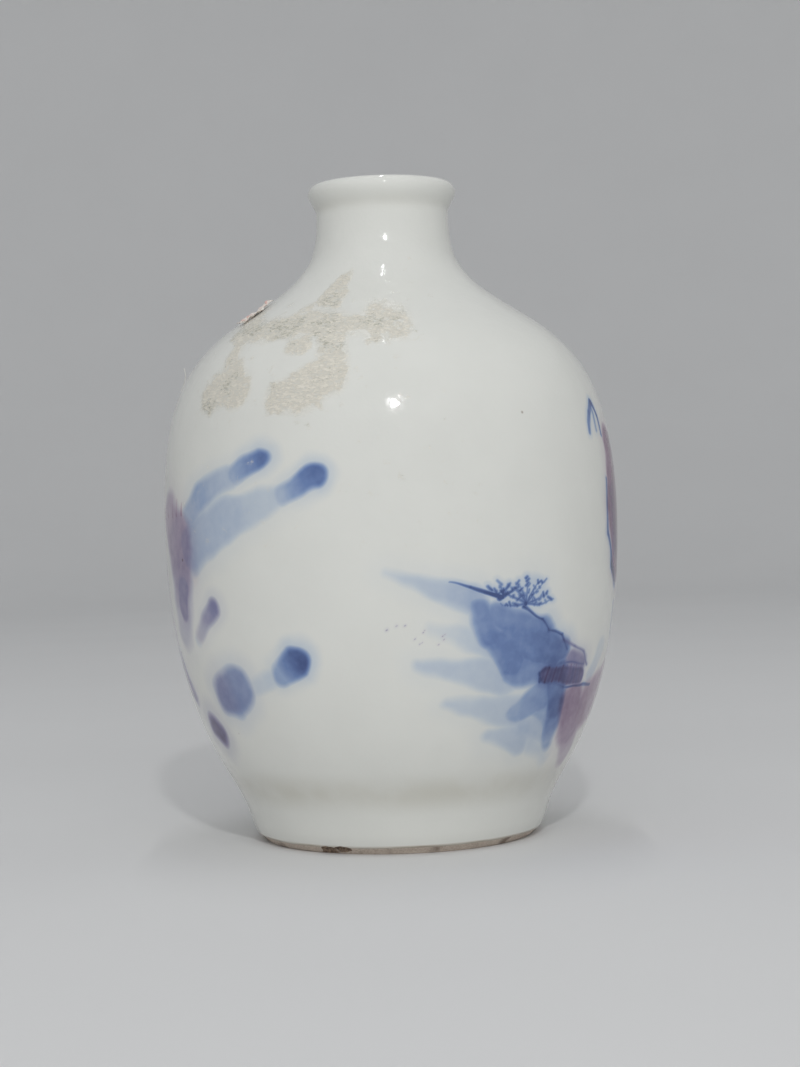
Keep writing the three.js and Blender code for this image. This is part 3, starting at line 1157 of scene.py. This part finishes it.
def sharpen_breaks(mesh):
    """Marks the rim of each break as sharp. Returns how many faces the breaks have."""
    names = [finish.name for finish in mesh.materials]
    broken = names.index("fracture")
    shape = bmesh.new()
    shape.from_mesh(mesh)
    faces = [face for face in shape.faces if face.material_index == broken]
    for edge in shape.edges:
        edge.smooth = len({face.material_index == broken for face in edge.link_faces}) < 2
    shape.to_mesh(mesh)
    shape.free()
    return len(faces)


print(f"{sharpen_breaks(bottle.data)} faces in the breaks")

# %% [markdown]
# ## What still sticks to it
# Two tiny things are left on the left shoulder. One is a corner of the sticker, torn and
# curled, with a pink print on its paper. The other is a stray fibre. Both are placed on the
# bottle by a ray: it starts well outside, flies towards the axis, and reports the point where
# it meets the wall and the direction in which the wall faces there.

# %% Find places on the wall
def on_wall(turn, height):
    """The place on the bottle at a turn and a height in millimetres, and its outward direction."""
    angle = math.radians(turn)
    outward = Vector((math.sin(angle), -math.cos(angle), 0))
    start = outward * (2 * BELLY) + Vector((0, 0, height * MM))
    hit, place, normal, _ = bottle.ray_cast(start, -outward)
    if not hit:
        raise ValueError(f"nothing at turn {turn}, height {height}")
    return place, normal


bpy.context.view_layer.update()
print(f"belly at the front: {on_wall(0, 32.4)[0].y / MM:.2f} mm")

# %% [markdown]
# ## Paper and fibre
# The paper was wet once, and then torn and rubbed: pale pulp, the pink of its print, and brown
# where the glue soaked in. A slow noise gives the print, and a quick one gives the pulp its
# colour, its roughness and its relief. The fibre needs only two greys.

# %% Paper and fibre finishes
PAPER = (0.84, 0.8, 0.74, 1)
PAPER_PINK = (0.74, 0.52, 0.47, 1)
PAPER_BROWN = (0.36, 0.26, 0.19, 1)
FIBRE_GREY = (0.62, 0.6, 0.56, 1)
FIBRE_PALE = (0.86, 0.85, 0.8, 1)
paper, tree, shader = new_material("torn_paper")
place = object_place(tree)
print_noise = noise_node(tree, place, 1.6, 3.0)
pulp = noise_node(tree, place, 9.0, 4.0)
tint = mix_colour(tree, remap(tree, print_noise, 0.48, 0.6), PAPER, PAPER_PINK)
tint = mix_colour(tree, remap(tree, pulp, 0.55, 0.7, 0.0, 0.8), tint, PAPER_BROWN)
bump = add_node(tree, "ShaderNodeBump", {"Distance": 0.05 * MM, "Height": pulp})
fill(tree, shader.inputs["Base Color"], tint)
fill(tree, shader.inputs["Roughness"], remap(tree, pulp, 0.3, 0.7, 0.75, 0.4))
fill(tree, shader.inputs["Normal"], bump.outputs[0])

fibre_finish, tree, shader = new_material("stray_fibre")
shade = noise_node(tree, object_place(tree), 3.0, 2.0)
fill(tree, shader.inputs["Base Color"], mix_colour(tree, shade, FIBRE_GREY, FIBRE_PALE))
shader.inputs["Roughness"].default_value = 0.5
print("paper and fibre finishes ready")

# %% [markdown]
# ## The torn corner of the sticker
# A cloth simulation could crumple the paper, but a scrap of 4 mm that has dried stiff is only
# a few waves of noise. A grid lies along the wall, its edges wander where it tore, its ends
# curl up, and a Solidify modifier makes it as thick as paper.

# %% The torn corner of the sticker
SCRAP_TURN = -65
SCRAP_HEIGHT = 54.2
SCRAP_LONG = 3.9
SCRAP_WIDE = 1.5
SCRAP_THICK = 0.07
SCRAP_STEPS = (34, 18)
SCRAP_TORN = 0.35  # how far its edges wander, as a share of its size
SCRAP_LIFT = 0.12  # millimetres off the wall
SCRAP_CRUMPLE = 0.3
SCRAP_CURL = 2.2  # how steeply the ends rise
SHOULDER_BEND = 15  # millimetres: the radius of the wall under it


def scrap_mesh(name):
    """A torn, curled grid of paper that lies along the wall and lifts off it at one end."""
    middle, normal = on_wall(SCRAP_TURN, SCRAP_HEIGHT)
    round_way = Vector((0, 0, 1)).cross(normal).normalized()
    up_way = normal.cross(round_way).normalized()
    long_way = (up_way - round_way * 0.1).normalized()
    wide_way = normal.cross(long_way)
    shape = bmesh.new()
    columns, rows = SCRAP_STEPS
    grid = []
    for i in range(columns + 1):
        s = i / columns - 0.5
        for j in range(rows + 1):
            t = j / rows - 0.5
            torn = 1 + SCRAP_TORN * noise.noise(Vector((s * 5, t * 5, 2.0)))
            along = s * SCRAP_LONG * torn
            across = t * SCRAP_WIDE * torn * (1 - 0.5 * abs(s))
            crumple = 0.5 + noise.noise(Vector((along * 1.5, across * 1.9, 7.0)))
            curl = SCRAP_CURL * max(0.0, abs(s) - 0.28) ** 1.3
            lift = SCRAP_LIFT + SCRAP_CRUMPLE * crumple + curl
            place = middle + (long_way * along + wide_way * across + normal * lift) * MM
            drop = (place - middle).length_squared / (2 * SHOULDER_BEND * MM)
            grid.append(shape.verts.new(place - normal * drop))
    for i in range(columns):
        for j in range(rows):
            first = i * (rows + 1) + j
            corners = (first, first + rows + 1, first + rows + 2, first + 1)
            shape.faces.new([grid[k] for k in corners])
    mesh = bpy.data.meshes.new(name)
    shape.to_mesh(mesh)
    shape.free()
    mesh.materials.append(paper)
    mesh.shade_smooth()
    return mesh


flat_scrap = bpy.data.objects.new("flat scrap", scrap_mesh("flat scrap"))
bpy.context.scene.collection.objects.link(flat_scrap)
thick = flat_scrap.modifiers.new("paper", "SOLIDIFY")
thick.thickness = SCRAP_THICK * MM
thick.offset = 0
scrap = as_mesh(flat_scrap, "label_scrap")
bpy.data.objects.remove(flat_scrap)
print(f"scrap of {len(scrap.data.polygons)} faces")

# %% [markdown]
# ## The stray fibre
# One fibre of the sticker stands off the left side, finer than a hair. A curve with a round
# bevel draws it in one go: it starts on the wall and bends away from it.

# %% The stray fibre
FIBRE_RADIUS = 0.035
FIBRE_PATH = [  # turn, height and distance from the wall
    (-84.5, 46.9, 0.03),
    (-84, 47.6, 0.05),
    (-83.4, 48.2, 0.25),
    (-83.6, 48.6, 0.6),
    (-84.4, 48.8, 0.85),
]


def fibre_curve(name):
    curve = bpy.data.curves.new(name, "CURVE")
    curve.dimensions = "3D"
    curve.bevel_depth = FIBRE_RADIUS * MM
    curve.bevel_resolution = 3
    curve.use_fill_caps = True
    spline = curve.splines.new("BEZIER")
    spline.bezier_points.add(len(FIBRE_PATH) - 1)
    for point, (turn, height, away) in zip(spline.bezier_points, FIBRE_PATH):
        place, normal = on_wall(turn, height)
        point.co = place + normal * away * MM
        point.handle_left_type = point.handle_right_type = "AUTO"
    return curve


fibre_line = bpy.data.objects.new("fibre line", fibre_curve("fibre line"))
bpy.context.scene.collection.objects.link(fibre_line)
fibre = as_mesh(fibre_line, "stray_fibre")
bpy.data.objects.remove(fibre_line)
fibre.data.materials.clear()
fibre.data.materials.append(fibre_finish)
print(f"fibre of {len(fibre.data.polygons)} faces")

# %% [markdown]
# ## Join the frame
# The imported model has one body, so all three pieces ride on it. The painted bottle takes the
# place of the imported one. The scrap and the fibre are dirt that lies on it, and replace nothing.

# %% Join the frame
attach(bottle, "root")
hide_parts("bottle")
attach(scrap, "root")
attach(fibre, "root")
print("three pieces ride on the bottle's body")

# %% [markdown]
# ## A plain studio
# Glaze shows whatever is around it, so the studio is as plain as it can be: a round, pale cove
# with no corner. A plane bent up at the back would do for one view, but this one is spun with
# the bottle's own tree, so it looks the same from every side.

# %% Cove
COVE = [
    (900, 500, 270, 60),
    (900, 330, 270, 60, 180),
    (570, 0, 180, 180, 150),
    (0, 0, 180, 150),
]
COVE_ROW = 12  # millimetres
COVE_GREY = (0.77, 0.77, 0.77, 1)
COVE_DARKER = (0.74, 0.74, 0.74, 1)
cove_finish, tree, shader = new_material("cove_paper")
mottle = noise_node(tree, object_place(tree), 0.02, 3.0)
fill(tree, shader.inputs["Base Color"], mix_colour(tree, mottle, COVE_DARKER, COVE_GREY))
shader.inputs["Roughness"].default_value = 0.9
shader.inputs["Specular IOR Level"].default_value = 0.2

cove_profile = bpy.data.curves.new("cove profile", "CURVE")
cove_profile.dimensions = "3D"
cove_profile.resolution_u = 32
add_part(cove_profile, COVE)
cove = spun(cove_profile, "studio_cove", cove_finish, {"underside": COVE_ROW * MM})
cove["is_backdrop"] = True
print(f"cove {cove.dimensions.x:.2f} m across")

# %% [markdown]
# ## Light
# A wide, soft light in front, nearly level with the belly, gives the body its shape. It is
# hidden from reflections, or it would cover the belly with a white square. A small, higher
# light makes the crisp glints on the lip, the neck and the shoulder, and a narrow strip
# overhead draws the streak where the neck begins. The air of the studio fills the shadows.

# %% Lights
LIGHTS = [  # shape, size in metres, watts, azimuth, elevation, distance, seen in reflections
    ("soft light", "SQUARE", (1.3, 1.3), 8.4, 3, 4, 0.87, False),
    ("small light", "DISK", (0.019, 0.019), 0.3, 4, 34, 0.42, True),
    ("strip light", "RECTANGLE", (0.008, 0.26), 0.16, 0, 99, 0.45, True),
]
AIR_COLOUR = (0.96, 0.98, 1, 1)
AIR_STRENGTH = 0.45


def lamp(name, shape, size, watts, azimuth, elevation, distance, in_reflections):
    """An area light that faces the belly. azimuth is to the right of the camera."""
    light = bpy.data.lights.new(name, "AREA")
    light.shape = shape
    light.size, light.size_y = size
    light.energy = watts
    thing = bpy.data.objects.new(name, light)
    bpy.context.scene.collection.objects.link(thing)
    side, rise = math.radians(azimuth), math.radians(elevation)
    sideways = math.sin(side) * math.cos(rise)
    forward = math.cos(side) * math.cos(rise)
    direction = Vector((sideways, -forward, math.sin(rise)))
    thing.location = AIM + direction * distance
    thing.rotation_euler = direction.to_track_quat("Z", "Y").to_euler()
    thing.visible_camera = False
    thing.visible_glossy = in_reflections


for light in LIGHTS:
    lamp(*light)

world = bpy.data.worlds.new("studio air")
world.use_nodes = True
air = world.node_tree.nodes["Background"].inputs
air["Color"].default_value = AIR_COLOUR
air["Strength"].default_value = AIR_STRENGTH
bpy.context.scene.world = world
bpy.context.scene.view_settings.view_transform = "Standard"
print(f"{len(LIGHTS)} lights")

# %% [markdown]
# ## Sizes, and the end
# The finer model has to keep to the imported model's box.

# %% Sizes
visual_box = [list(corner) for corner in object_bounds()]
for name, box in (("cad", cad_box), ("visual", visual_box)):
    print(name, [[round(value / MM, 2) for value in corner] for corner in box])
